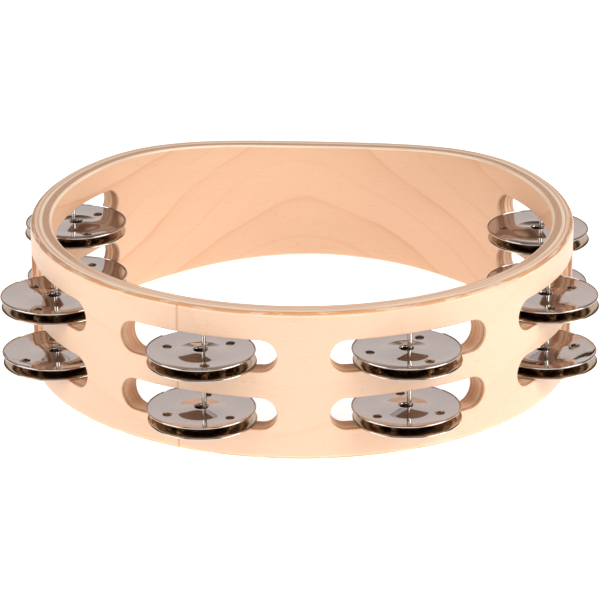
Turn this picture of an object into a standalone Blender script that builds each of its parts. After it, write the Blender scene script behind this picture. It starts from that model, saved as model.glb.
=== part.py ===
"""Headless tambourine: a bent plywood hoop with a double row of jingles.

Each of the six stations round the hoop has a slot in the upper row and one in the lower row,
and one long headed pin that is pushed up from the bottom rim through both slots. Every slot
holds a pair of stamped discs, loose on the pin, with their hollow sides facing apart. A disc's
hole is wider than the pin, and each disc rests with the edge of its hole near the pin. The side
without slots is the grip, where both rims are cut back for the hand.

Units are metres, +Z is up and the hoop stands on its bottom rim at z = 0. Azimuths are in
degrees from the front (-Y) of the hoop, positive towards +X. The hoop's axis is moved off the
world origin so that the origin is the middle of the bottom of the whole instrument's box.
"""
import math

import bmesh
import bpy

# Hoop
HOOP_RADIUS = 0.127
HOOP_WALL = 0.010
HOOP_HEIGHT = 0.0696
OUTER_CHAMFER = 0.0022
INNER_CHAMFER = 0.0013
HOOP_SEGMENTS = 120

# Grip: how far each rim is cut back, and where
GRIP_AZIMUTH = 176.0
GRIP_HALF_SPAN = 54.0
TOP_GRIP_CUT = 0.0069
BOTTOM_GRIP_CUT = 0.0046

# Slots: stations round the hoop, and the height of each row's centre
STATIONS = {
    "front_left": -22.2,
    "front_right": 22.7,
    "side_left": -67.0,
    "side_right": 67.1,
    "back_left": -112.4,
    "back_right": 108.0,
}
ROWS = {"lower": 0.0215, "upper": 0.0488}
SLOT_LENGTH = 0.0750
SLOT_HEIGHT = 0.0150
SLOT_END_STEPS = 6

# Jingle discs: the rims of a pair lie furthest apart. Inside the rim a disc is dished towards its
# partner, with a flat valley where the dimples are, then it rises as a cone to the hole, whose
# edge is turned down into a collar.
DISC_RADIUS = 0.0244
DISC_SHEET = 0.0008
DISC_HOLE_RADIUS = 0.0028
DISC_SEGMENTS = 24
RIM_SPACING = 0.0052
VALLEY_INNER = 0.0142
VALLEY_OUTER = 0.0182
VALLEY_DROP = 0.00130
DOME_RADIUS = 0.0126
DOME_RISE = 0.00125
DIMPLE_RING = 0.0162
DIMPLE_HALF_LENGTH = 0.0016
DIMPLE_HALF_ANGLE = 5.5
DIMPLE_DEPTH = 0.0006
DIMPLE_COUNT = 3

# Turn of each pair's top disc about its hole, in degrees: (lower row, upper row)
DISC_TURNS = {
    "front_left": (75, 30),
    "front_right": (90, 60),
    "side_left": (90, 0),
    "side_right": (15, 30),
    "back_left": (60, 45),
    "back_right": (105, 45),
}
PARTNER_TURN = 45

# Pins, and how far each disc has slipped off its pin's centre, in one direction at each station
PIN_AZIMUTHS = {
    "front_left": -20.8,
    "front_right": 22.8,
    "side_left": -67.6,
    "side_right": 67.5,
    "back_left": -114.6,
    "back_right": 109.4,
}
SLIP_TURNS = {
    "front_left": 165.0,
    "front_right": 180.0,
    "side_left": 225.0,
    "side_right": 180.0,
    "back_left": 335.0,
    "back_right": 180.0,
}
TOP_SLIP = 0.0014
BOTTOM_SLIP = 0.0009
PIN_RADIUS = 0.0010
PIN_HEAD_RADIUS = 0.0021
PIN_HEAD_HEIGHT = 0.0010
PIN_RECESS = 0.0005
PIN_BLIND_DEPTH = 0.0071
PIN_SEGMENTS = 12

# Fit
GAP = 0.0003

PIN_RING = HOOP_RADIUS - HOOP_WALL / 2
DIMPLE_OFFSET = 180.0 / DISC_SEGMENTS
COLLAR_END = GAP / 2
FLAT_NORMAL = 0.999
LIP_RISE = DOME_RISE - VALLEY_DROP
STACK_HALF = RIM_SPACING / 2 + DISC_SHEET / 2


def clear_scene():
    """Remove every object that the scene starts with."""
    for obj in list(bpy.data.objects):
        bpy.data.objects.remove(obj)


def polar(radius, azimuth):
    """A point in the hoop's own plane, from its azimuth in degrees."""
    angle = math.radians(azimuth)
    return radius * math.sin(angle), -radius * math.cos(angle)


def pair_centre(station, slip):
    """Middle of a disc that has slipped this far off its pin's centre."""
    x, y = polar(PIN_RING, PIN_AZIMUTHS[station])
    turn = math.radians(SLIP_TURNS[station])
    return x + slip * math.cos(turn), y + slip * math.sin(turn)


def hoop_axis():
    """Where the hoop's axis stands, so that the whole box is centred on the origin."""
    discs = [pair_centre(station, slip) for station in STATIONS for slip in (TOP_SLIP, BOTTOM_SLIP)]
    centre = []
    for column in zip(*discs):
        low = min(min(column) - DISC_RADIUS, -HOOP_RADIUS)
        high = max(max(column) + DISC_RADIUS, HOOP_RADIUS)
        centre.append(-(low + high) / 2)
    return centre[0], centre[1], 0.0


def make_material(name, color, roughness, metallic):
    """A Principled material with one colour."""
    material = bpy.data.materials.new(name)
    material.use_nodes = True
    shader = material.node_tree.nodes["Principled BSDF"]
    shader.inputs["Base Color"].default_value = (*color, 1.0)
    shader.inputs["Roughness"].default_value = roughness
    shader.inputs["Metallic"].default_value = metallic
    return material


def spin_profile(name, profile, segments, closed):
    """Turn (radius, z) points about Z into a closed mesh; an open profile ends on the axis."""
    bm = bmesh.new()
    verts = [bm.verts.new((radius, 0.0, z)) for radius, z in profile]
    ends = verts[1:] + verts[:1] if closed else verts[1:]
    edges = [bm.edges.new(pair) for pair in zip(verts, ends)]
    bmesh.ops.spin(
        bm, geom=verts + edges, cent=(0, 0, 0), axis=(0, 0, 1),
        angle=math.tau, steps=segments, use_merge=True,
    )
    bmesh.ops.remove_doubles(bm, verts=bm.verts, dist=1e-6)
    bmesh.ops.recalc_face_normals(bm, faces=bm.faces)
    mesh = bpy.data.meshes.new(name)
    bm.to_mesh(mesh)
    bm.free()
    return mesh


def add_object(name, mesh, material=None):
    """Link a new object to the scene."""
    obj = bpy.data.objects.new(name, mesh)
    bpy.context.scene.collection.objects.link(obj)
    if material is not None and not mesh.materials:
        mesh.materials.append(material)
    return obj


def shade_round(mesh, sharp_angle):
    """Smooth shading, with creases kept sharp."""
    mesh.shade_smooth()
    mesh.set_sharp_from_angle(angle=math.radians(sharp_angle))


def grip_share(azimuth):
    """Share of the full cut at this azimuth: a smooth dip centred on the grip."""
    away = abs((azimuth - GRIP_AZIMUTH + 180.0) % 360.0 - 180.0)
    if away >= GRIP_HALF_SPAN:
        return 0.0
    return math.cos(math.pi / 2 * away / GRIP_HALF_SPAN) ** 2


def hoop_mesh():
    """The bent hoop before slotting, with chamfered rims and the dip of the grip."""
    outer = HOOP_RADIUS
    inner = HOOP_RADIUS - HOOP_WALL
    top = HOOP_HEIGHT
    profile = [
        (outer, OUTER_CHAMFER),
        (outer, top - OUTER_CHAMFER),
        (outer - OUTER_CHAMFER, top),
        (inner + INNER_CHAMFER, top),
        (inner, top - INNER_CHAMFER),
        (inner, INNER_CHAMFER),
        (inner + INNER_CHAMFER, 0.0),
        (outer - OUTER_CHAMFER, 0.0),
    ]
    mesh = spin_profile("hoop", profile, HOOP_SEGMENTS, closed=True)
    for vert in mesh.vertices:
        share = grip_share(math.degrees(math.atan2(vert.co.x, -vert.co.y)))
        vert.co.z += share * (BOTTOM_GRIP_CUT if vert.co.z < HOOP_HEIGHT / 2 else -TOP_GRIP_CUT)
    return mesh


def slot_outline():
    """Points round a slot seen along its axis: two straight sides and two round ends."""
    radius = SLOT_HEIGHT / 2
    reach = SLOT_LENGTH / 2 - radius
    points = []
    for side in (1, -1):
        for step in range(SLOT_END_STEPS + 1):
            angle = math.pi * (step / SLOT_END_STEPS - 0.5)
            points.append((side * (reach + radius * math.cos(angle)), side * radius * math.sin(angle)))
    return points


def slot_cutter_mesh():
    """Every slot's cutter. Its ends follow lines from the hoop's axis, so it widens outwards."""
    bm = bmesh.new()
    near = HOOP_RADIUS - 2.2 * HOOP_WALL
    far = HOOP_RADIUS + HOOP_WALL
    for azimuth in STATIONS.values():
        out_x, out_y = polar(1.0, azimuth)
        for height in ROWS.values():
            loops = []
            for depth in (near, far):
                loop = []
                for along, up in slot_outline():
                    across = depth * math.tan(math.asin(along / HOOP_RADIUS))
                    place = (out_x * depth - out_y * across, out_y * depth + out_x * across, height + up)
                    loop.append(bm.verts.new(place))
                loops.append(loop)
                bm.faces.new(loop)
            inner, outer = loops
            for index in range(len(inner)):
                after = (index + 1) % len(inner)
                bm.faces.new((inner[index], inner[after], outer[after], outer[index]))
    bmesh.ops.triangulate(bm, faces=bm.faces)
    bmesh.ops.recalc_face_normals(bm, faces=bm.faces)
    mesh = bpy.data.meshes.new("slot_cutter")
    bm.to_mesh(mesh)
    bm.free()
    return mesh


def pin_profile(grow):
    """Half outline of a pin from the head up, grown all round by a clearance."""
    top = HOOP_HEIGHT - PIN_BLIND_DEPTH + grow
    neck = PIN_RECESS + PIN_HEAD_HEIGHT + grow
    foot = PIN_RECESS if grow == 0 else -HOOP_WALL / 4
    return [
        (0.0, foot),
        (PIN_HEAD_RADIUS + grow, foot),
        (PIN_HEAD_RADIUS + grow, neck),
        (PIN_RADIUS + grow, neck),
        (PIN_RADIUS + grow, top),
        (0.0, top),
    ]


def bore_cutter_mesh():
    """The six stepped pin holes as one mesh."""
    bore = spin_profile("bore", pin_profile(GAP), PIN_SEGMENTS, closed=False)
    bm = bmesh.new()
    for azimuth in PIN_AZIMUTHS.values():
        before = len(bm.verts)
        bm.from_mesh(bore)
        bm.verts.ensure_lookup_table()
        x, y = polar(PIN_RING, azimuth)
        bmesh.ops.translate(bm, verts=bm.verts[before:], vec=(x, y, 0.0))
    mesh = bpy.data.meshes.new("bore_cutter")
    bm.to_mesh(mesh)
    bm.free()
    bpy.data.meshes.remove(bore)
    return mesh


def cut_with(obj, cutter_mesh, parent):
    """Cut an object with a guide that isn't part of the model."""
    cutter = add_object(cutter_mesh.name, cutter_mesh)
    cutter.parent = parent
    cutter.hide_render = True
    cutter.display_type = "WIRE"
    cut = obj.modifiers.new(cutter_mesh.name, "BOOLEAN")
    cut.operation = "DIFFERENCE"
    cut.solver = "EXACT"
    cut.object = cutter


def make_hoop(parent, material):
    """The slotted hoop."""
    mesh = hoop_mesh()
    shade_round(mesh, 30)
    hoop = add_object("hoop", mesh, material)
    hoop.parent = parent
    cut_with(hoop, slot_cutter_mesh(), parent)
    cut_with(hoop, bore_cutter_mesh(), parent)


def press_dimple(bm, face, azimuth):
    """Press a small square dimple into one face of the plate."""
    middle = math.radians(azimuth)
    half = math.radians(DIMPLE_HALF_ANGLE)
    corners = list(face.verts)
    z = corners[0].co.z - DIMPLE_DEPTH
    floor = []
    for vert in corners:
        outside = vert.co.xy.length > DIMPLE_RING
        radius = DIMPLE_RING + (DIMPLE_HALF_LENGTH if outside else -DIMPLE_HALF_LENGTH)
        ahead = math.sin(math.atan2(vert.co.y, vert.co.x) - middle) > 0
        angle = middle + (half if ahead else -half)
        floor.append(bm.verts.new((radius * math.cos(angle), radius * math.sin(angle), z)))
    bm.faces.remove(face)
    bm.faces.new(floor)
    for index, vert in enumerate(corners):
        after = (index + 1) % 4
        bm.faces.new((vert, corners[after], floor[after], floor[index]))


def disc_mesh():
    """A pair's top disc, about its hole, with z = 0 halfway between the two discs."""
    under = (RIM_SPACING - DISC_SHEET) / 2
    over = under + DISC_SHEET
    collar = DISC_HOLE_RADIUS + DISC_SHEET
    profile = [
        (DISC_RADIUS, under),
        (DISC_RADIUS, over),
        (VALLEY_OUTER, over - VALLEY_DROP),
        (VALLEY_INNER, over - VALLEY_DROP),
        (DOME_RADIUS, over - VALLEY_DROP),
        (DISC_HOLE_RADIUS, over + LIP_RISE),
        (DISC_HOLE_RADIUS, COLLAR_END),
        (collar, COLLAR_END),
        (collar, under + LIP_RISE),
        (DOME_RADIUS, under - VALLEY_DROP),
        (VALLEY_INNER, under - VALLEY_DROP),
        (VALLEY_OUTER, under - VALLEY_DROP),
    ]
    mesh = spin_profile("jingle_disc", profile, DISC_SEGMENTS, closed=True)
    bm = bmesh.new()
    bm.from_mesh(mesh)
    flat = [
        face for face in bm.faces
        if abs(face.normal.z) > FLAT_NORMAL
        and VALLEY_INNER < face.calc_center_median().xy.length < VALLEY_OUTER
    ]
    for index in range(DIMPLE_COUNT):
        azimuth = DIMPLE_OFFSET + index * 360.0 / DIMPLE_COUNT
        across = math.radians(azimuth)
        for face in list(flat):
            centre = face.calc_center_median()
            if math.cos(math.atan2(centre.y, centre.x) - across) > FLAT_NORMAL:
                flat.remove(face)
                press_dimple(bm, face, azimuth)
    bm.to_mesh(mesh)
    bm.free()
    shade_round(mesh, 25)
    return mesh


def make_pins(parent, material):
    """One long headed pin at each station."""
    mesh = spin_profile("jingle_pin", pin_profile(0.0), PIN_SEGMENTS, closed=False)
    shade_round(mesh, 40)
    for station, azimuth in PIN_AZIMUTHS.items():
        pin = add_object(f"pin_{station}", mesh, material)
        pin.parent = parent
        pin.location = (*polar(PIN_RING, azimuth), 0.0)


def make_jingles(parent, material):
    """A pair of facing discs in every slot, resting on the slot's floor."""
    mesh = disc_mesh()
    for station in STATIONS:
        for (row, height), turn in zip(ROWS.items(), DISC_TURNS[station]):
            middle = height - SLOT_HEIGHT / 2 + GAP + STACK_HALF
            top = add_object(f"jingle_{station}_{row}_top", mesh, material)
            bottom = add_object(f"jingle_{station}_{row}_bottom", mesh, material)
            top.rotation_euler = (0.0, 0.0, math.radians(turn))
            bottom.rotation_euler = (math.pi, 0.0, math.radians(turn + PARTNER_TURN))
            for disc, slip in ((top, TOP_SLIP), (bottom, BOTTOM_SLIP)):
                disc.parent = parent
                disc.location = (*pair_centre(station, slip), middle)


def main():
    clear_scene()
    maple = make_material("maple_plywood", (0.84, 0.62, 0.42), 0.45, 0.0)
    steel = make_material("pin_steel", (0.62, 0.60, 0.57), 0.30, 1.0)
    nickel = make_material("nickel_plate", (0.66, 0.62, 0.58), 0.16, 1.0)
    axis = bpy.data.objects.new("hoop_axis", None)
    bpy.context.scene.collection.objects.link(axis)
    axis.location = hoop_axis()
    make_hoop(axis, maple)
    make_pins(axis, steel)
    make_jingles(axis, nickel)


main()
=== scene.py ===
"""Looks of the headless tambourine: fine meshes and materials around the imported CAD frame.

Lengths are metres in the frame's own axes. Azimuths are degrees from the front (-Y) of the
hoop's axis, positive towards +X, as in the design.
"""
import math

import bmesh
import bpy
import numpy as np
from mathutils import Matrix, Vector


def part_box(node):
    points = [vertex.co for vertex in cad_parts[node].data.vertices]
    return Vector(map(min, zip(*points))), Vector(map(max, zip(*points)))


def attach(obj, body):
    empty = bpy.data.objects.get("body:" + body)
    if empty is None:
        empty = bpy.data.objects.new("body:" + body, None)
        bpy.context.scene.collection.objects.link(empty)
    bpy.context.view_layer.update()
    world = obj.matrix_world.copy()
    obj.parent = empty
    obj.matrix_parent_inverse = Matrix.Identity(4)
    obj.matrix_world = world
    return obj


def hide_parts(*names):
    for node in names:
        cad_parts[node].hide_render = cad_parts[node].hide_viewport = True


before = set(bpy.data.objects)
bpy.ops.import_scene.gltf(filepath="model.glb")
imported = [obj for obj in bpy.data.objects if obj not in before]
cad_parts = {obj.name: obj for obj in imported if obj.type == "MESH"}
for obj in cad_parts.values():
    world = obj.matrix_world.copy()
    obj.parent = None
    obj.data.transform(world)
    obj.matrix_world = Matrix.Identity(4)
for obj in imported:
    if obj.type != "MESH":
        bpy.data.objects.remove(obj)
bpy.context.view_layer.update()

# Names in the frame
PLACES = ("front_left", "front_right", "side_left", "side_right", "back_left", "back_right")
ROWS = ("lower", "upper")
HOOP_BODY = "hoop_with_pins"

# Hoop, as designed
SLOT_AZIMUTHS = {
    "front_left": -22.2,
    "front_right": 22.7,
    "side_left": -67.0,
    "side_right": 67.1,
    "back_left": -112.4,
    "back_right": 108.0,
}
WALL = 0.010
OUTER_ROUND = 0.0022
INNER_ROUND = 0.0013
SLOT_LENGTH = 0.0750
SLOT_HEIGHT = 0.0150
SLOT_EDGE = 0.0005
GRIP_AZIMUTH = 176.0
GRIP_HALF_SPAN = 54.0
TOP_GRIP_CUT = 0.0069
BOTTOM_GRIP_CUT = 0.0046
GAP = 0.0003

# Hoop mesh density
PATCH_COLUMNS = 32
GRIP_COLUMNS = 64
END_PATCH_HALF = 23.0
BAND_MARGIN = 0.0058
BAND_ROWS = 8
EDGE_ROWS = 2
RING_STEPS = (0.0, 0.05, 0.13, 0.27, 0.48, 0.73, 1.0)
SLOT_ROUND_STEPS = 3
SLOT_WALL_STEPS = 6
RIM_ROUND_STEPS = 6
RIM_FLAT_STEPS = 4

# Jingle discs. The slopes run from the lip of the hole outwards, upwards where they are positive
DISC_RADIUS = 0.0244
DISC_SHEET = 0.0007
RIM_SPACING = 0.0052
BEAD_SHARE = 1.15
RIM_MARGIN = 0.0004
HOLE_RADIUS = 0.0028
LIP_RADIUS = 0.0037
COLLAR_EDGE = 0.0001
SLOPE_RADII = (LIP_RADIUS, 0.0050, 0.0115, 0.0130, 0.0145, 0.0190, 0.0225, 0.0240, DISC_RADIUS)
SLOPE_DEGREES = (-8.5, -9.5, -9.0, 0.0, 0.0, 7.0, 9.5, 20.0, 24.0)
DIMPLE_RING = 0.0162
DIMPLE_RADIUS = 0.0022
DIMPLE_DEPTH = 0.00085
DIMPLE_POWER = 1.8
DIMPLE_COUNT = 3
DIMPLE_OFFSET = 7.5
DIMPLE_FINE_SPAN = 9.0
# Turns of the top discs in the lower and the upper row. Each partner is turned further
DISC_TURNS = {
    "front_left": (75, 30),
    "front_right": (90, 60),
    "side_left": (90, 0),
    "side_right": (15, 30),
    "back_left": (60, 45),
    "back_right": (105, 45),
}
PARTNER_TURN = 45

# Pins
PIN_RADIUS = 0.0010
PIN_HEAD_RADIUS = 0.0021
PIN_HEAD_HEIGHT = 0.0010
PIN_EDGE = 0.0003
PIN_SEGMENTS = 32

# Veneer joint on the outside of the hoop, and the arches of the growth lines. The arches' angle is
# in radians, and the ring lines are strengths against the share of one spacing
JOINT_AZIMUTH = -25.6
JOINT_JOG = 0.0006
ARCH_ANGLE = 0.391
ARCH_COUNT = 3.0
ARCH_HEIGHT = 0.026
RING_SPACING = 0.040
RING_LINES = (
    (0.0, 0.0), (0.40, 0.05), (0.46, 0.45), (0.49, 0.10),
    (0.80, 0.22), (0.92, 0.50), (0.960, 1.0), (1.0, 0.0),
)

# Wood colours: the face veneers from dark to light, and their marks
OUTER_FACE = ((0.745, 0.485, 0.340), (0.815, 0.595, 0.425))
INNER_FACE = ((0.705, 0.435, 0.275), (0.800, 0.535, 0.360))
RING_COLOR = (0.620, 0.300, 0.150)
FIBRE_COLOR = (0.640, 0.400, 0.230)
FLECK_COLOR = (0.520, 0.300, 0.160)
JOINT_COLOR = (0.520, 0.270, 0.110)

# Plies, against the share of the wall's depth: their colours at the front and elsewhere, the cross
# ply under the outer veneer, and the dark core. The slots' band of painted shade is against ten times the
# height
EDGE = (0.870, 0.680, 0.500)
BRIGHT = (0.970, 0.820, 0.650)
TAN = (0.920, 0.650, 0.480)
ROSE = (0.920, 0.700, 0.530)
ORANGE = (0.740, 0.470, 0.310)
MAUVE = (0.620, 0.430, 0.330)
BROWN = (0.600, 0.370, 0.240)
FRONT_PLIES = (
    (0.000, EDGE), (0.170, EDGE), (0.178, BROWN), (0.192, BROWN), (0.204, BRIGHT), (0.370, BRIGHT),
    (0.420, TAN), (0.650, TAN), (0.660, MAUVE), (0.685, MAUVE), (0.700, TAN), (0.850, TAN),
    (0.865, BROWN), (0.895, BROWN), (0.915, BRIGHT), (1.000, BRIGHT),
)
SIDE_PLIES = (
    (0.000, EDGE), (0.178, EDGE), (0.190, BROWN), (0.205, ROSE), (0.320, ROSE), (0.335, ORANGE),
    (0.395, ORANGE), (0.410, BRIGHT), (0.530, BRIGHT), (0.560, TAN), (0.870, TAN), (0.890, BRIGHT),
    (1.000, BRIGHT),
)
CROSS_PLY = ((0.022, 0.0), (0.032, 1.0), (0.178, 1.0), (0.190, 0.0))
CROSS_SIDE = (0.640, 0.350, 0.230)
CROSS_FRONT = (0.840, 0.410, 0.180)
CROSS_PATCH = (0.960, 0.760, 0.560)
CROSS_PORE = (0.300, 0.140, 0.070)
CORE_PLY = ((0.550, 0.0), (0.575, 1.0), (0.860, 1.0), (0.880, 0.0))
CORE_GRIT = ((0.480, 0.270, 0.165), (0.730, 0.460, 0.320))
STREAK_COLOR = (0.600, 0.390, 0.280)
SLOT_SHADE_BAND = ((0.085, 0.0), (0.100, 1.0), (0.575, 1.0), (0.590, 0.0))
SLOT_WALL_SHADE = (0.860, 0.720, 0.600)
PLY_WAVER = 0.022

# Metal colours
NICKEL = ((0.490, 0.468, 0.478), (0.545, 0.522, 0.530))
NICKEL_GRIME = (0.400, 0.340, 0.310)
# The next colour is painted shade, laid into the dimples and round the hole on the discs' outer sides
NICKEL_HOLLOW_SHADE = (0.200, 0.140, 0.095)
NICKEL_INNER = (0.570, 0.490, 0.410)
STEEL = ((0.560, 0.520, 0.460), (0.720, 0.690, 0.640))

# Camera: distance and height from the hoop's axis at the table, downward pitch, turn and roll
CAMERA_DISTANCE = 1.4651
CAMERA_HEIGHT = 0.6026
CAMERA_PITCH = 0.375
CAMERA_TURN = 0.0007
CAMERA_ROLL = -0.002
CAMERA_LENS = 199.54
SENSOR_WIDTH = 36.0

# Lights: name, place, size and power in watts
LIGHTS = (
    ("key", (1.6, -0.7, 1.0), (1.4, 1.2), 32.0),
    ("fill", (-1.6, -0.8, 1.0), (1.4, 1.2), 21.0),
    ("front", (0.0, -2.2, 0.5), (2.2, 0.8), 3.0),
)
LIGHT_TARGET = Vector((0.0, 0.0, 0.03))
MIRROR_BOUNCES = 12

# Floor
FLOOR_SIZE = 12.0
FLOOR_DROP = 0.0002
FLOOR_GLOW = 0.72

# Surroundings: colour against the sine of the elevation. Far to either side they turn darker
SKY = (
    (0.00, (0.22, 0.16, 0.11)),
    (0.10, (0.22, 0.16, 0.11)),
    (0.21, (0.91, 0.79, 0.72)),
    (0.78, (0.87, 0.79, 0.74)),
    (0.88, (0.15, 0.13, 0.12)),
)
SIDE_REACH = (0.27, 0.38)
SIDE_COLOR = (0.14, 0.095, 0.06)

low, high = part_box("hoop")
HOOP_RADIUS = (high[0] - low[0]) / 2
HOOP_HEIGHT = high[2]
AXIS = Vector(((low[0] + high[0]) / 2, (low[1] + high[1]) / 2, 0.0))


def box_middle(node):
    """Middle of a CAD node's box."""
    corner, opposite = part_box(node)
    return (Vector(corner) + Vector(opposite)) / 2


SLOT_FLOOR = {row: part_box(f"jingle_front_left_{row}_bottom")[0][2] - GAP for row in ROWS}


# ---------------------------------------------------------------- mesh helpers

class Surface:
    """Collects grids of points, then welds them into one closed mesh."""

    def __init__(self):
        self.points = []
        self.quads = []

    def add_grid(self, rows, wrap=False):
        """Quads between neighbouring rows of points; wrap closes each row into a loop."""
        start = len(self.points)
        width = len(rows[0])
        for row in rows:
            self.points.extend(row)
        spans = width if wrap else width - 1
        for upper in range(len(rows) - 1):
            for left in range(spans):
                right = (left + 1) % width
                near = start + upper * width
                far = near + width
                self.quads.append((near + left, near + right, far + right, far + left))

    def build(self, name):
        """Weld, face outwards and return a smooth mesh."""
        mesh = bpy.data.meshes.new(name)
        mesh.from_pydata(self.points, [], self.quads)
        bm = bmesh.new()
        bm.from_mesh(mesh)
        bmesh.ops.remove_doubles(bm, verts=bm.verts, dist=1e-6)
        bmesh.ops.recalc_face_normals(bm, faces=bm.faces)
        bm.to_mesh(mesh)
        bm.free()
        mesh.shade_smooth()
        return mesh


def add_piece(name, mesh, material, body, node, location=(0.0, 0.0, 0.0)):
    """A finished piece in its place, which rides on a body and stands for one CAD node."""
    piece = bpy.data.objects.new(name, mesh)
    bpy.context.scene.collection.objects.link(piece)
    piece.location = location
    if not mesh.materials:
        mesh.materials.append(material)
    bpy.context.view_layer.update()
    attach(piece, body)
    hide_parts(node)


# ---------------------------------------------------------------- hoop

def grip_share(azimuth):
    """Share of the grip's full cut at this azimuth."""
    away = abs((azimuth - GRIP_AZIMUTH + 180.0) % 360.0 - 180.0)
    if away >= GRIP_HALF_SPAN:
        return 0.0
    return math.cos(math.pi / 2 * away / GRIP_HALF_SPAN) ** 2


def hoop_point(azimuth, z, radius):
    """A point of the hoop, with its height squeezed towards the middle at the grip."""
    middle = HOOP_HEIGHT / 2
    cut = TOP_GRIP_CUT if z > middle else BOTTOM_GRIP_CUT
    squeezed = middle + (z - middle) * (1 - grip_share(azimuth) * cut / middle)
    angle = math.radians(azimuth)
    return AXIS.x + radius * math.sin(angle), AXIS.y - radius * math.cos(angle), squeezed


def band_levels(rounding):
    """Heights of the grid lines in the wall's four bands, from below: foot, lower, upper, brow."""
    floor = SLOT_FLOOR["lower"]
    ceiling = SLOT_FLOOR["upper"] + SLOT_HEIGHT
    rail = (floor + SLOT_HEIGHT + SLOT_FLOOR["upper"]) / 2
    return [
        np.linspace(rounding, floor - BAND_MARGIN, EDGE_ROWS + 1),
        np.linspace(floor - BAND_MARGIN, rail, BAND_ROWS + 1),
        np.linspace(rail, ceiling + BAND_MARGIN, BAND_ROWS + 1),
        np.linspace(ceiling + BAND_MARGIN, HOOP_HEIGHT - rounding, EDGE_ROWS + 1),
    ]


def patch_columns():
    """For each station, the azimuths of its columns; neighbours share their border."""
    order = sorted(SLOT_AZIMUTHS, key=SLOT_AZIMUTHS.get)
    middles = [SLOT_AZIMUTHS[place] for place in order]
    borders = [middles[0] - END_PATCH_HALF]
    borders += [(left + right) / 2 for left, right in zip(middles, middles[1:])]
    borders.append(middles[-1] + END_PATCH_HALF)
    return {
        place: np.linspace(borders[index], borders[index + 1], PATCH_COLUMNS + 1)
        for index, place in enumerate(order)
    }


def add_wall_grid(surface, columns, levels, radius):
    """A plain stretch of the hoop's inner or outer face."""
    surface.add_grid([[hoop_point(az, z, radius) for az in columns] for z in levels])


def slot_places(columns, station, rows):
    """Where each point of a patch's border lands on the slot's outline.

    Each entry is (reach, angle): the centre of the round end or a point of the straight
    side, and the direction in which the outline lies from it."""
    reach = (SLOT_LENGTH - SLOT_HEIGHT) / 2
    offsets = HOOP_RADIUS * np.sin(np.radians(columns - station))
    straight = [index for index, offset in enumerate(offsets) if abs(offset) <= reach]
    first, last = straight[0], straight[-1]
    count = len(columns) - 1
    sides = np.linspace(-reach, reach, last - first + 1)
    right_steps = 2 * (count - last) + rows
    left_steps = 2 * first + rows
    places = [(along, 90.0) for along in sides]
    places += [(reach, 90.0 - 180.0 * step / right_steps) for step in range(1, right_steps)]
    places += [(along, -90.0) for along in sides[::-1]]
    places += [(-reach, -90.0 - 180.0 * step / left_steps) for step in range(1, left_steps)]
    return places, first


def border_loop(columns, levels, first):
    """The patch's border, in step with slot_places: along the top, then clockwise."""
    top = [(az, levels[-1]) for az in columns]
    right = [(columns[-1], z) for z in levels[-2:0:-1]]
    bottom = [(az, levels[0]) for az in columns[::-1]]
    left = [(columns[0], z) for z in levels[1:-1]]
    loop = top + right + bottom + left
    return loop[first:] + loop[:first]


def slot_loop(places, station, middle, grow):
    """The slot's outline, grown by a margin, as (azimuth, z). Its ends are cut towards the axis."""
    size = SLOT_HEIGHT / 2 + grow
    loop = []
    for reach, angle in places:
        along = reach + size * math.cos(math.radians(angle))
        up = size * math.sin(math.radians(angle))
        loop.append((station + math.degrees(math.asin(along / HOOP_RADIUS)), middle + up))
    return loop


def add_slot(surface, columns, levels, station, floor):
    """One slot: both faces of its patch, its rounded edges and its wall."""
    places, first = slot_places(columns, station, len(levels) - 1)
    border = border_loop(columns, levels, first)
    middle = floor + SLOT_HEIGHT / 2
    inner = HOOP_RADIUS - WALL
    for radius in (HOOP_RADIUS, inner):
        hole = slot_loop(places, station, middle, SLOT_EDGE)
        rings = []
        for step in RING_STEPS:
            rings.append([
                hoop_point(h[0] + (b[0] - h[0]) * step, h[1] + (b[1] - h[1]) * step, radius)
                for h, b in zip(hole, border)
            ])
        surface.add_grid(rings, wrap=True)
    turns = np.linspace(0, math.pi / 2, SLOT_ROUND_STEPS + 1)
    rounding = [(SLOT_EDGE * (1 - math.sin(t)), SLOT_EDGE * (1 - math.cos(t))) for t in turns]
    depths = np.linspace(SLOT_EDGE, WALL - SLOT_EDGE, SLOT_WALL_STEPS + 1)[1:-1]
    section = rounding + [(0.0, depth) for depth in depths]
    section += [(grow, WALL - depth) for grow, depth in reversed(rounding)]
    rings = []
    for grow, depth in section:
        radius = HOOP_RADIUS - depth
        loop = slot_loop(places, station, middle, grow)
        rings.append([hoop_point(az, z, radius) for az, z in loop])
    surface.add_grid(rings, wrap=True)


def rim_profile():
    """(radius, height) points over the top rim, from the outer wall to the inner wall."""
    outer = HOOP_RADIUS - OUTER_ROUND
    inner = HOOP_RADIUS - WALL + INNER_ROUND
    turns = np.linspace(0, math.pi / 2, RIM_ROUND_STEPS + 1)
    shares = [(math.cos(turn), 1 - math.sin(turn)) for turn in turns]
    points = [(outer + OUTER_ROUND * out, HOOP_HEIGHT - OUTER_ROUND * down) for out, down in shares]
    points += [(radius, HOOP_HEIGHT) for radius in np.linspace(outer, inner, RIM_FLAT_STEPS + 1)[1:-1]]
    points += [
        (inner - INNER_ROUND * out, HOOP_HEIGHT - INNER_ROUND * down) for out, down in reversed(shares)
    ]
    return points


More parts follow.
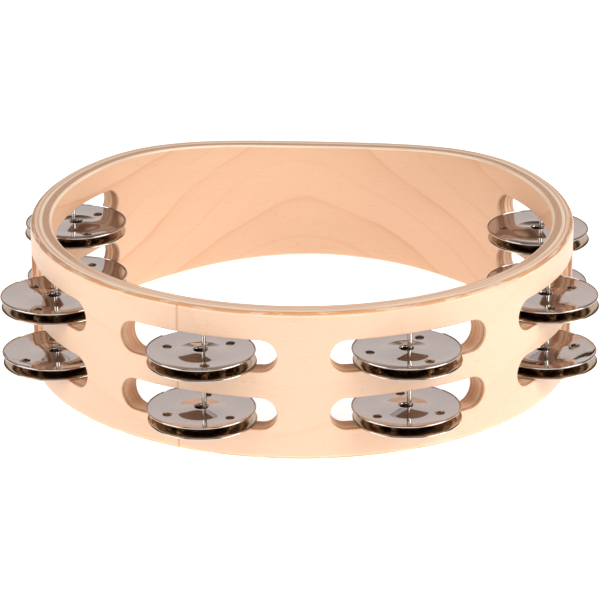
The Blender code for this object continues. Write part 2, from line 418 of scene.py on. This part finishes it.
def hoop_mesh():
    """The whole hoop: slotted patches, the plain grip and both rounded rims."""
    surface = Surface()
    patches = patch_columns()
    start = min(columns[0] for columns in patches.values())
    end = max(columns[-1] for columns in patches.values())
    grip = np.linspace(end, start + 360.0, GRIP_COLUMNS + 1)
    for radius, rounding in ((HOOP_RADIUS, OUTER_ROUND), (HOOP_RADIUS - WALL, INNER_ROUND)):
        foot, lower, upper, brow = band_levels(rounding)
        for levels in (foot, lower, upper, brow):
            add_wall_grid(surface, grip, levels, radius)
        for columns in patches.values():
            add_wall_grid(surface, columns, foot, radius)
            add_wall_grid(surface, columns, brow, radius)
    # The two bands with slots lie at the same heights outside and inside
    for place, columns in patches.items():
        add_slot(surface, columns, lower, SLOT_AZIMUTHS[place], SLOT_FLOOR["lower"])
        add_slot(surface, columns, upper, SLOT_AZIMUTHS[place], SLOT_FLOOR["upper"])
    profile = rim_profile()
    for columns in [grip, *patches.values()]:
        for flip in (False, True):
            surface.add_grid([
                [hoop_point(az, HOOP_HEIGHT - z if flip else z, radius) for az in columns]
                for radius, z in profile
            ])
    return surface.build("hoop_shell")


# ---------------------------------------------------------------- jingle discs

def height_table():
    """Height of a disc's sheet above its valley at closely spaced radii, from its slopes."""
    radii = np.linspace(LIP_RADIUS, DISC_RADIUS, 400)
    slopes = np.tan(np.radians(np.interp(radii, SLOPE_RADII, SLOPE_DEGREES)))
    steps = (slopes[1:] + slopes[:-1]) / 2 * np.diff(radii)
    heights = np.concatenate([[0.0], np.cumsum(steps)])
    return radii, heights - heights[-1] + RIM_SPACING / 2


PLATE_RADII, PLATE_HEIGHTS = height_table()


def plate_height(radius):
    """Height of the middle of a top disc's sheet above the middle of its pair."""
    return float(np.interp(radius, PLATE_RADII, PLATE_HEIGHTS))


def disc_directions():
    """Directions round a disc, closer together where the dimples are."""
    spacing = 360.0 / DIMPLE_COUNT
    fine = np.linspace(-DIMPLE_FINE_SPAN, DIMPLE_FINE_SPAN, 25)
    coarse = np.linspace(DIMPLE_FINE_SPAN, spacing - DIMPLE_FINE_SPAN, 19)[1:-1]
    one = np.concatenate([fine, coarse])
    return np.concatenate([one + spacing * index for index in range(DIMPLE_COUNT)])


def dimple_drop(radius, direction):
    """How far the sheet is pressed towards the partner at this point."""
    spacing = 360.0 / DIMPLE_COUNT
    nearest = round(direction / spacing) * spacing
    away = math.radians(direction - nearest)
    distance = math.hypot(radius * math.cos(away) - DIMPLE_RING, radius * math.sin(away))
    if distance >= DIMPLE_RADIUS:
        return 0.0
    share = distance / DIMPLE_RADIUS
    return DIMPLE_DEPTH * (1.0 - share ** DIMPLE_POWER)


def disc_profile():
    """(radius, height, dimpled) points round a disc's section, from the hole outwards and back."""
    half = DISC_SHEET / 2
    radii = np.concatenate([
        np.linspace(LIP_RADIUS, DIMPLE_RING - DIMPLE_RADIUS, 14)[:-1],
        np.linspace(DIMPLE_RING - DIMPLE_RADIUS, DIMPLE_RING + DIMPLE_RADIUS, 17),
        np.linspace(DIMPLE_RING + DIMPLE_RADIUS, DISC_RADIUS - RIM_MARGIN, 15)[1:],
    ])
    top = [(r, plate_height(r) + half, True) for r in radii]
    under = [(r, plate_height(r) - half, True) for r in reversed(radii)]
    rim = plate_height(DISC_RADIUS)
    bead = half * BEAD_SHARE
    turns = np.radians(np.linspace(100, -50, 9))
    edge = [(DISC_RADIUS - bead + bead * math.cos(t), rim + bead * math.sin(t), False) for t in turns]
    brow = plate_height(LIP_RADIUS) + half
    depth = LIP_RADIUS - HOLE_RADIUS
    turns = np.radians(np.linspace(0, 80, 6))
    lip = [(HOLE_RADIUS + depth * (1 - math.cos(t)), brow - depth * (1 - math.sin(t)), False) for t in turns]
    end = GAP / 2
    outer = HOLE_RADIUS + DISC_SHEET
    low = plate_height(LIP_RADIUS) - half
    collar = [
        (outer + 2 * COLLAR_EDGE, low - 2 * COLLAR_EDGE, False),
        (outer, low - 5 * COLLAR_EDGE, False),
        (outer, end + COLLAR_EDGE, False),
        (outer - COLLAR_EDGE, end, False),
        (HOLE_RADIUS + COLLAR_EDGE, end, False),
        (HOLE_RADIUS, end + COLLAR_EDGE, False),
    ]
    return lip + top + edge + under + collar


def disc_mesh(name, flip, turn):
    """A disc about its pair's middle: its dimples, dome, collar and rolled edge."""
    surface = Surface()
    directions = disc_directions()
    side = -1.0 if flip else 1.0
    rows = []
    for radius, height, dimpled in disc_profile():
        row = []
        for direction in directions:
            angle = side * math.radians(direction + DIMPLE_OFFSET) + math.radians(turn)
            drop = dimple_drop(radius, direction) if dimpled else 0.0
            row.append((radius * math.cos(angle), radius * math.sin(angle), side * (height - drop)))
        rows.append(row)
    rows.append(rows[0])
    surface.add_grid(rows, wrap=True)
    return surface.build(name)


def make_discs(material):
    """Every disc, at the place of its CAD node."""
    for place in PLACES:
        for row, turn in zip(ROWS, DISC_TURNS[place]):
            top_node = f"jingle_{place}_{row}_top"
            bottom_node = f"jingle_{place}_{row}_bottom"
            middle = (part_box(top_node)[0][2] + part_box(bottom_node)[1][2]) / 2
            for node, flip in ((top_node, False), (bottom_node, True)):
                name = node.replace("jingle_", "disc_")
                mesh = disc_mesh(name, flip, turn + PARTNER_TURN if flip else turn)
                centre = box_middle(node)
                location = (centre.x, centre.y, middle)
                add_piece(name, mesh, material, node, node, location)


# ---------------------------------------------------------------- pins

def pin_mesh(node):
    """A headed pin about its own axis, with rounded edges on its head and tip."""
    lowest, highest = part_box(node)
    foot, tip = lowest[2], highest[2]
    neck = foot + PIN_HEAD_HEIGHT
    profile = [
        (0.0, foot - 0.00005),
        (PIN_HEAD_RADIUS * 0.6, foot),
        (PIN_HEAD_RADIUS - PIN_EDGE, foot + 0.0001),
        (PIN_HEAD_RADIUS, foot + PIN_EDGE),
        (PIN_HEAD_RADIUS, neck - 0.0002),
        (PIN_HEAD_RADIUS - 0.0002, neck),
        (PIN_RADIUS + 0.0001, neck),
        (PIN_RADIUS, neck + 0.0001),
    ]
    profile += [(PIN_RADIUS, z) for z in np.linspace(neck + 0.002, tip - 0.0012, 12)]
    profile += [(PIN_RADIUS * 0.75, tip - 0.0005), (PIN_RADIUS * 0.3, tip), (0.0, tip)]
    surface = Surface()
    rows = []
    for radius, z in profile:
        angles = np.linspace(0, math.tau, PIN_SEGMENTS, endpoint=False)
        rows.append([(radius * math.cos(a), radius * math.sin(a), z) for a in angles])
    surface.add_grid(rows, wrap=True)
    return surface.build("jingle_pin")


def make_pins(material):
    """One pin at each station."""
    mesh = pin_mesh("pin_front_left")
    for place in PLACES:
        node = f"pin_{place}"
        middle = box_middle(node)
        add_piece(f"rod_{place}", mesh, material, HOOP_BODY, node, (middle.x, middle.y, 0.0))


# ---------------------------------------------------------------- materials

class Graph:
    """Short calls for building one material's nodes."""

    def __init__(self, name):
        self.material = bpy.data.materials.new(name)
        self.material.use_nodes = True
        self.tree = self.material.node_tree
        self.shader = self.tree.nodes["Principled BSDF"]

    def add(self, kind, **settings):
        node = self.tree.nodes.new(kind)
        for key, value in settings.items():
            setattr(node, key, value)
        return node

    def put(self, target, value):
        """Link a socket, or set a constant."""
        if isinstance(value, bpy.types.NodeSocket):
            self.tree.links.new(value, target)
        else:
            target.default_value = value

    def math(self, operation, first, second=0.0, clamp=False):
        node = self.add("ShaderNodeMath", operation=operation, use_clamp=clamp)
        self.put(node.inputs[0], first)
        self.put(node.inputs[1], second)
        return node.outputs[0]

    def vector(self, x, y, z):
        node = self.add("ShaderNodeCombineXYZ")
        for socket, value in zip(node.inputs, (x, y, z)):
            self.put(socket, value)
        return node.outputs[0]

    def scaled(self, vector, scale, shift=(0.0, 0.0, 0.0)):
        node = self.add("ShaderNodeMapping")
        self.put(node.inputs["Vector"], vector)
        node.inputs["Scale"].default_value = scale
        node.inputs["Location"].default_value = shift
        return node.outputs[0]

    def noise(self, vector, detail=2.0, roughness=0.5):
        node = self.add("ShaderNodeTexNoise")
        self.put(node.inputs["Vector"], vector)
        node.inputs["Scale"].default_value = 1.0
        node.inputs["Detail"].default_value = detail
        node.inputs["Roughness"].default_value = roughness
        return node.outputs["Fac"]

    def ramp(self, factor, stops):
        """Straight lines between (position, value or colour) stops."""
        node = self.add("ShaderNodeValToRGB")
        elements = node.color_ramp.elements
        while len(elements) < len(stops):
            elements.new(0.5)
        for element, (place, color) in zip(elements, stops):
            element.position = place
            element.color = (*color, 1.0) if isinstance(color, tuple) else (color, color, color, 1.0)
        self.put(node.inputs["Fac"], factor)
        return node.outputs["Color"]

    def mix(self, factor, first, second, blend="MIX"):
        node = self.add("ShaderNodeMix", data_type="RGBA", blend_type=blend)
        self.put(node.inputs["Factor"], factor)
        for socket, value in ((node.inputs[6], first), (node.inputs[7], second)):
            self.put(socket, (*value, 1.0) if isinstance(value, tuple) else value)
        return node.outputs[2]

    def bump(self, height, distance, normal=None):
        node = self.add("ShaderNodeBump")
        self.put(node.inputs["Height"], height)
        node.inputs["Distance"].default_value = distance
        if normal is not None:
            self.put(node.inputs["Normal"], normal)
        return node.outputs["Normal"]


class HoopPlaces:
    """Where a point of the hoop lies: round it, through its wall, and on the unrolled sheet.

    The angle is turned so that the veneer's joint lies where it jumps, at half a turn. The
    front fades in between 50 and 75 mm before the origin."""

    def __init__(self, g):
        coordinates = g.add("ShaderNodeTexCoord")
        upright = g.add("ShaderNodeSeparateXYZ")
        g.put(upright.inputs[0], coordinates.outputs["Object"])
        joint_frame = g.add("ShaderNodeMapping", vector_type="TEXTURE")
        g.put(joint_frame.inputs["Vector"], coordinates.outputs["Object"])
        joint_frame.inputs["Location"].default_value = AXIS
        joint_frame.inputs["Rotation"].default_value = (0.0, 0.0, math.radians(JOINT_AZIMUTH + 90.0))
        parts = g.add("ShaderNodeSeparateXYZ")
        g.put(parts.inputs[0], joint_frame.outputs["Vector"])
        x, y, self.z = parts.outputs
        self.angle = g.math("ARCTAN2", y, x)
        self.around = g.math("MULTIPLY", self.angle, HOOP_RADIUS)
        radius = g.math("SQRT", g.math("ADD", g.math("MULTIPLY", x, x), g.math("MULTIPLY", y, y)))
        self.depth = g.math("DIVIDE", g.math("SUBTRACT", HOOP_RADIUS, radius), WALL, clamp=True)
        self.unrolled = g.vector(self.around, g.math("MULTIPLY", self.depth, 0.5), self.z)
        self.front = g.ramp(g.math("MULTIPLY", upright.outputs["Y"], -10.0), [(0.50, 0.0), (0.75, 1.0)])


def growth_lines(g, at):
    """Growth lines in tall arches along the hoop, broken up by noise."""
    swell = g.math("COSINE", g.math("MULTIPLY", g.math("SUBTRACT", at.angle, ARCH_ANGLE), ARCH_COUNT))
    arch = g.math("MULTIPLY", g.math("SUBTRACT", 1.0, swell), ARCH_HEIGHT)
    warp = g.noise(g.scaled(at.unrolled, (14.0, 6.0, 26.0)), detail=3.0)
    drift = g.noise(g.scaled(at.unrolled, (4.5, 8.0, 9.0), (2.1, 0.0, 0.7)), detail=1.0)
    wander = g.math("ADD", g.math("MULTIPLY", drift, 2.2), g.math("MULTIPLY", warp, 0.30))
    rings = g.math("MULTIPLY", g.math("ADD", at.z, arch), 1.0 / RING_SPACING)
    line = g.ramp(g.math("FRACT", g.math("ADD", rings, wander)), RING_LINES)
    patchy = g.noise(g.scaled(at.unrolled, (9.0, 6.0, 30.0), (5.0, 1.0, 3.0)), detail=2.0)
    return g.math("MULTIPLY", line, g.ramp(patchy, [(0.34, 0.30), (0.60, 1.0)]))


def face_veneer(g, at):
    """Colour of the face veneers, and the fibre that gives them relief."""
    tone = g.noise(g.scaled(at.unrolled, (7.0, 5.0, 16.0), (1.0, 4.0, 2.0)), detail=3.0)
    inside = g.ramp(at.depth, [(0.40, 0.0), (0.60, 1.0)])
    face = g.mix(inside, g.mix(tone, *OUTER_FACE), g.mix(tone, *INNER_FACE))
    contrast = g.math("ADD", g.math("MULTIPLY", inside, 0.48), 0.18)
    face = g.mix(g.math("MULTIPLY", growth_lines(g, at), contrast), face, RING_COLOR)
    fibre = g.noise(g.scaled(at.unrolled, (45.0, 30.0, 1500.0)), detail=3.0, roughness=0.65)
    face = g.mix(g.ramp(fibre, [(0.30, 0.22), (0.55, 0.0)]), face, FIBRE_COLOR)
    fleck = g.noise(g.scaled(at.unrolled, (230.0, 60.0, 2100.0), (0.0, 0.0, 9.0)), detail=1.0)
    face = g.mix(g.ramp(fleck, [(0.66, 0.0), (0.75, 0.55)]), face, FLECK_COLOR)
    return face, fibre


def ply_stack(g, at):
    """Colour of the plies by depth through the wall, with painted shade on the slot walls, and the pores of
    the outer cross ply.
    """
    waver = g.noise(g.scaled(at.unrolled, (120.0, 0.0, 120.0)), detail=2.0)
    level = g.math("ADD", at.depth, g.math("MULTIPLY", g.math("SUBTRACT", waver, 0.5), PLY_WAVER))
    grit = g.noise(g.scaled(at.unrolled, (900.0, 60.0, 200.0), (0.0, 3.0, 0.0)), detail=3.0, roughness=0.7)
    core = g.mix(g.ramp(grit, [(0.40, 0.0), (0.60, 1.0)]), *CORE_GRIT)
    side = g.mix(g.ramp(level, CORE_PLY), g.ramp(level, SIDE_PLIES), core)
    plies = g.mix(at.front, side, g.ramp(level, FRONT_PLIES))
    crossing = g.ramp(level, CROSS_PLY)
    plies = g.mix(crossing, plies, g.mix(at.front, CROSS_SIDE, CROSS_FRONT))
    # Painted shade: the plies on the walls of the slots are darkened and warmed
    slot_shade = g.ramp(g.math("MULTIPLY", at.z, 10.0), SLOT_SHADE_BAND)
    plies = g.mix(slot_shade, plies, SLOT_WALL_SHADE, blend="MULTIPLY")
    patch = g.noise(g.scaled(at.unrolled, (70.0, 14.0, 3.0), (3.0, 0.0, 0.0)), detail=2.0)
    patch = g.ramp(patch, [(0.53, 0.0), (0.56, 0.80)])
    plies = g.mix(g.math("MULTIPLY", patch, crossing), plies, CROSS_PATCH)
    speck = g.noise(g.scaled(at.unrolled, (1500.0, 180.0, 320.0)), detail=2.0)
    dark = g.math("MULTIPLY", g.ramp(speck, [(0.34, 0.50), (0.58, 0.0)]), crossing)
    plies = g.mix(dark, plies, CROSS_PORE)
    streak = g.noise(g.scaled(at.unrolled, (22.0, 36.0, 160.0)), detail=3.0, roughness=0.6)
    plies = g.mix(g.ramp(streak, [(0.36, 0.55), (0.54, 0.0)]), plies, STREAK_COLOR)
    return plies, g.math("MULTIPLY", speck, crossing)


def veneer_joint(g, at):
    """Mask of the outer veneer's butt joint, a thin and slightly crooked line."""
    beyond = g.math("SUBTRACT", math.pi * HOOP_RADIUS, g.math("ABSOLUTE", at.around))
    jog = g.math("MULTIPLY", g.noise(g.scaled(at.unrolled, (0.0, 0.0, 160.0)), detail=3.0), JOINT_JOG)
    line = g.ramp(g.math("MULTIPLY", g.math("SUBTRACT", beyond, jog), 600.0), [(0.0, 1.0), (0.30, 0.0)])
    return g.math("MULTIPLY", line, g.ramp(at.depth, [(0.05, 1.0), (0.08, 0.0)]))


def maple_material():
    """Lacquered maple plywood: figured face veneers, and edges that show the plies."""
    g = Graph("maple_plywood")
    at = HoopPlaces(g)
    face, fibre = face_veneer(g, at)
    plies, pores = ply_stack(g, at)
    joint = veneer_joint(g, at)
    on_face = g.ramp(at.depth, [
        (0.000, 1.0), (0.003, 1.0), (0.010, 0.0), (0.990, 0.0), (0.997, 1.0), (1.000, 1.0),
    ])
    color = g.mix(on_face, plies, face)
    color = g.mix(g.math("MULTIPLY", joint, 0.55), color, JOINT_COLOR)
    g.put(g.shader.inputs["Base Color"], color)
    gloss = g.noise(g.scaled(at.unrolled, (60.0, 40.0, 500.0)), detail=2.0)
    g.put(g.shader.inputs["Roughness"], g.ramp(gloss, [(0.3, 0.36), (0.7, 0.50)]))
    g.put(g.shader.inputs["Specular IOR Level"], g.ramp(on_face, [(0.0, 0.15), (1.0, 0.50)]))
    g.put(g.shader.inputs["Coat Weight"], g.math("MULTIPLY", on_face, 0.12))
    g.shader.inputs["Coat Roughness"].default_value = 0.28
    relief = g.math("SUBTRACT", g.math("MULTIPLY", fibre, 0.35), joint)
    relief = g.math("SUBTRACT", relief, g.math("MULTIPLY", pores, 0.9))
    g.put(g.shader.inputs["Normal"], g.bump(relief, 0.00012))
    return g.material


def nickel_sides(g, coordinates):
    """Masks of the low parts of a disc's outer side (dimples and hole), which get painted shade, and of its
    inner side.

    A disc's origin is its pair's middle, so a face that looks away from it is on the outer side."""
    spot = g.add("ShaderNodeSeparateXYZ")
    g.put(spot.inputs[0], coordinates.outputs["Object"])
    normal = g.add("ShaderNodeSeparateXYZ")
    g.put(normal.inputs[0], coordinates.outputs["Normal"])
    rise = g.math("MULTIPLY", g.math("ABSOLUTE", spot.outputs["Z"]), 0.5 / PLATE_HEIGHTS.min())
    hollow_shade = g.ramp(rise, [(0.50, 1.0), (0.60, 0.0)])
    outward = g.math("MULTIPLY", g.math("MULTIPLY", normal.outputs["Z"], spot.outputs["Z"]), 1000.0)
    hollow_shade = g.math("MULTIPLY", hollow_shade, g.math("GREATER_THAN", outward, 0.0))
    return hollow_shade, g.math("LESS_THAN", outward, -0.2)


def nickel_material():
    """Polished nickel plate: a slightly wavy mirror with painted shade in its hollows, and duller inside."""
    g = Graph("nickel_plate")
    coordinates = g.add("ShaderNodeTexCoord")
    info = g.add("ShaderNodeObjectInfo")
    local = g.add("ShaderNodeVectorMath", operation="ADD")
    g.put(local.inputs[0], coordinates.outputs["Object"])
    g.put(local.inputs[1], info.outputs["Location"])
    place = local.outputs[0]
    hollow_shade, inner = nickel_sides(g, coordinates)
    smear = g.noise(g.scaled(place, (90.0, 90.0, 90.0)), detail=3.0)
    grime = g.noise(g.scaled(place, (260.0, 260.0, 260.0), (4.0, 0.0, 0.0)), detail=4.0, roughness=0.6)
    tint = g.mix(smear, *NICKEL)
    tint = g.mix(g.ramp(grime, [(0.58, 0.0), (0.78, 0.35)]), tint, NICKEL_GRIME)
    # Painted shade: the dimples and the dip round the hole are darkened
    tint = g.mix(hollow_shade, tint, NICKEL_HOLLOW_SHADE)
    tint = g.mix(inner, tint, NICKEL_INNER)
    g.put(g.shader.inputs["Base Color"], tint)
    g.shader.inputs["Metallic"].default_value = 1.0
    polish = g.ramp(smear, [(0.30, 0.035), (0.75, 0.085)])
    g.put(g.shader.inputs["Roughness"], g.mix(inner, polish, (0.130, 0.130, 0.130)))
    wave = g.noise(g.scaled(place, (70.0, 70.0, 70.0), (0.0, 7.0, 0.0)), detail=1.5)
    scratch = g.noise(g.scaled(place, (3000.0, 160.0, 300.0)), detail=2.0)
    g.put(g.shader.inputs["Normal"], g.bump(scratch, 0.0000012, normal=g.bump(wave, 0.00006)))
    return g.material


def steel_material():
    """Bright drawn wire, with faint rings and streaks."""
    g = Graph("pin_steel")
    coordinates = g.add("ShaderNodeTexCoord")
    place = coordinates.outputs["Object"]
    streak = g.noise(g.scaled(place, (2600.0, 2600.0, 60.0)), detail=3.0)
    tint = g.mix(streak, *STEEL)
    g.put(g.shader.inputs["Base Color"], tint)
    g.shader.inputs["Metallic"].default_value = 1.0
    g.put(g.shader.inputs["Roughness"], g.ramp(streak, [(0.30, 0.14), (0.75, 0.30)]))
    dent = g.noise(g.scaled(place, (500.0, 500.0, 420.0)), detail=2.0)
    g.put(g.shader.inputs["Normal"], g.bump(dent, 0.00006))
    return g.material


def floor_material():
    """Matt white floor with a trace of unevenness."""
    g = Graph("studio_floor")
    coordinates = g.add("ShaderNodeTexCoord")
    tone = g.noise(g.scaled(coordinates.outputs["Object"], (3.0, 3.0, 3.0)), detail=2.0)
    g.put(g.shader.inputs["Base Color"], g.mix(tone, (0.93, 0.93, 0.93), (0.95, 0.95, 0.95)))
    g.shader.inputs["Roughness"].default_value = 0.9
    g.shader.inputs["Emission Color"].default_value = (1.0, 1.0, 1.0, 1.0)
    g.shader.inputs["Emission Strength"].default_value = FLOOR_GLOW
    return g.material


# ---------------------------------------------------------------- studio

def make_floor():
    """A plain white floor under the instrument."""
    bpy.ops.mesh.primitive_plane_add(size=FLOOR_SIZE, location=(0.0, 0.0, -FLOOR_DROP))
    floor = bpy.context.object
    floor.name = "studio_floor"
    floor.data.materials.append(floor_material())


def make_world():
    """Pale surroundings, dim along the horizon, straight overhead and far to either side."""
    world = bpy.data.worlds.new("studio")
    world.use_nodes = True
    tree = world.node_tree
    coordinates = tree.nodes.new("ShaderNodeTexCoord")
    parts = tree.nodes.new("ShaderNodeSeparateXYZ")
    shade = tree.nodes.new("ShaderNodeValToRGB")
    tree.links.new(coordinates.outputs["Generated"], parts.inputs[0])
    tree.links.new(parts.outputs["Z"], shade.inputs["Fac"])
    elements = shade.color_ramp.elements
    while len(elements) < len(SKY):
        elements.new(0.5)
    for element, (place, color) in zip(elements, SKY):
        element.position = place
        element.color = (*color, 1.0)
    side = tree.nodes.new("ShaderNodeMath")
    side.operation = "ABSOLUTE"
    tree.links.new(parts.outputs["X"], side.inputs[0])
    reach = tree.nodes.new("ShaderNodeMapRange")
    for name, value in (("From Min", SIDE_REACH[0]), ("From Max", SIDE_REACH[1])):
        reach.inputs[name].default_value = value
    tree.links.new(side.outputs[0], reach.inputs["Value"])
    blend = tree.nodes.new("ShaderNodeMix")
    blend.data_type = "RGBA"
    blend.inputs[7].default_value = (*SIDE_COLOR, 1.0)
    tree.links.new(reach.outputs["Result"], blend.inputs["Factor"])
    tree.links.new(shade.outputs["Color"], blend.inputs[6])
    background = tree.nodes["Background"]
    tree.links.new(blend.outputs[2], background.inputs["Color"])
    background.inputs["Strength"].default_value = 1.0
    bpy.context.scene.world = world


def add_area(name, location, size, power):
    """A large soft light aimed at the instrument."""
    light = bpy.data.lights.new(name, "AREA")
    light.shape = "RECTANGLE"
    light.size, light.size_y = size
    light.energy = power
    lamp = bpy.data.objects.new(name, light)
    bpy.context.scene.collection.objects.link(lamp)
    lamp.location = location
    lamp.rotation_euler = (LIGHT_TARGET - lamp.location).to_track_quat("-Z", "Y").to_euler()


def make_camera():
    """A long lens from the front, looking down at the instrument."""
    data = bpy.data.cameras.new("camera")
    data.sensor_width = SENSOR_WIDTH
    data.lens = CAMERA_LENS
    data.clip_end = 50.0
    camera = bpy.data.objects.new("camera", data)
    bpy.context.scene.collection.objects.link(camera)
    camera.location = (AXIS.x, AXIS.y - CAMERA_DISTANCE, CAMERA_HEIGHT)
    aim = Matrix.Rotation(CAMERA_TURN, 3, "Z") @ Matrix.Rotation(math.pi / 2 - CAMERA_PITCH, 3, "X")
    camera.rotation_euler = (aim @ Matrix.Rotation(CAMERA_ROLL, 3, "Z")).to_euler()
    bpy.context.scene.camera = camera


def main():
    make_camera()
    make_world()
    make_floor()
    for light in LIGHTS:
        add_area(*light)
    bpy.context.scene.view_settings.view_transform = "Standard"
    bpy.context.scene.cycles.glossy_bounces = MIRROR_BOUNCES
    add_piece("hoop_shell", hoop_mesh(), maple_material(), HOOP_BODY, "hoop")
    make_pins(steel_material())
    make_discs(nickel_material())


main()
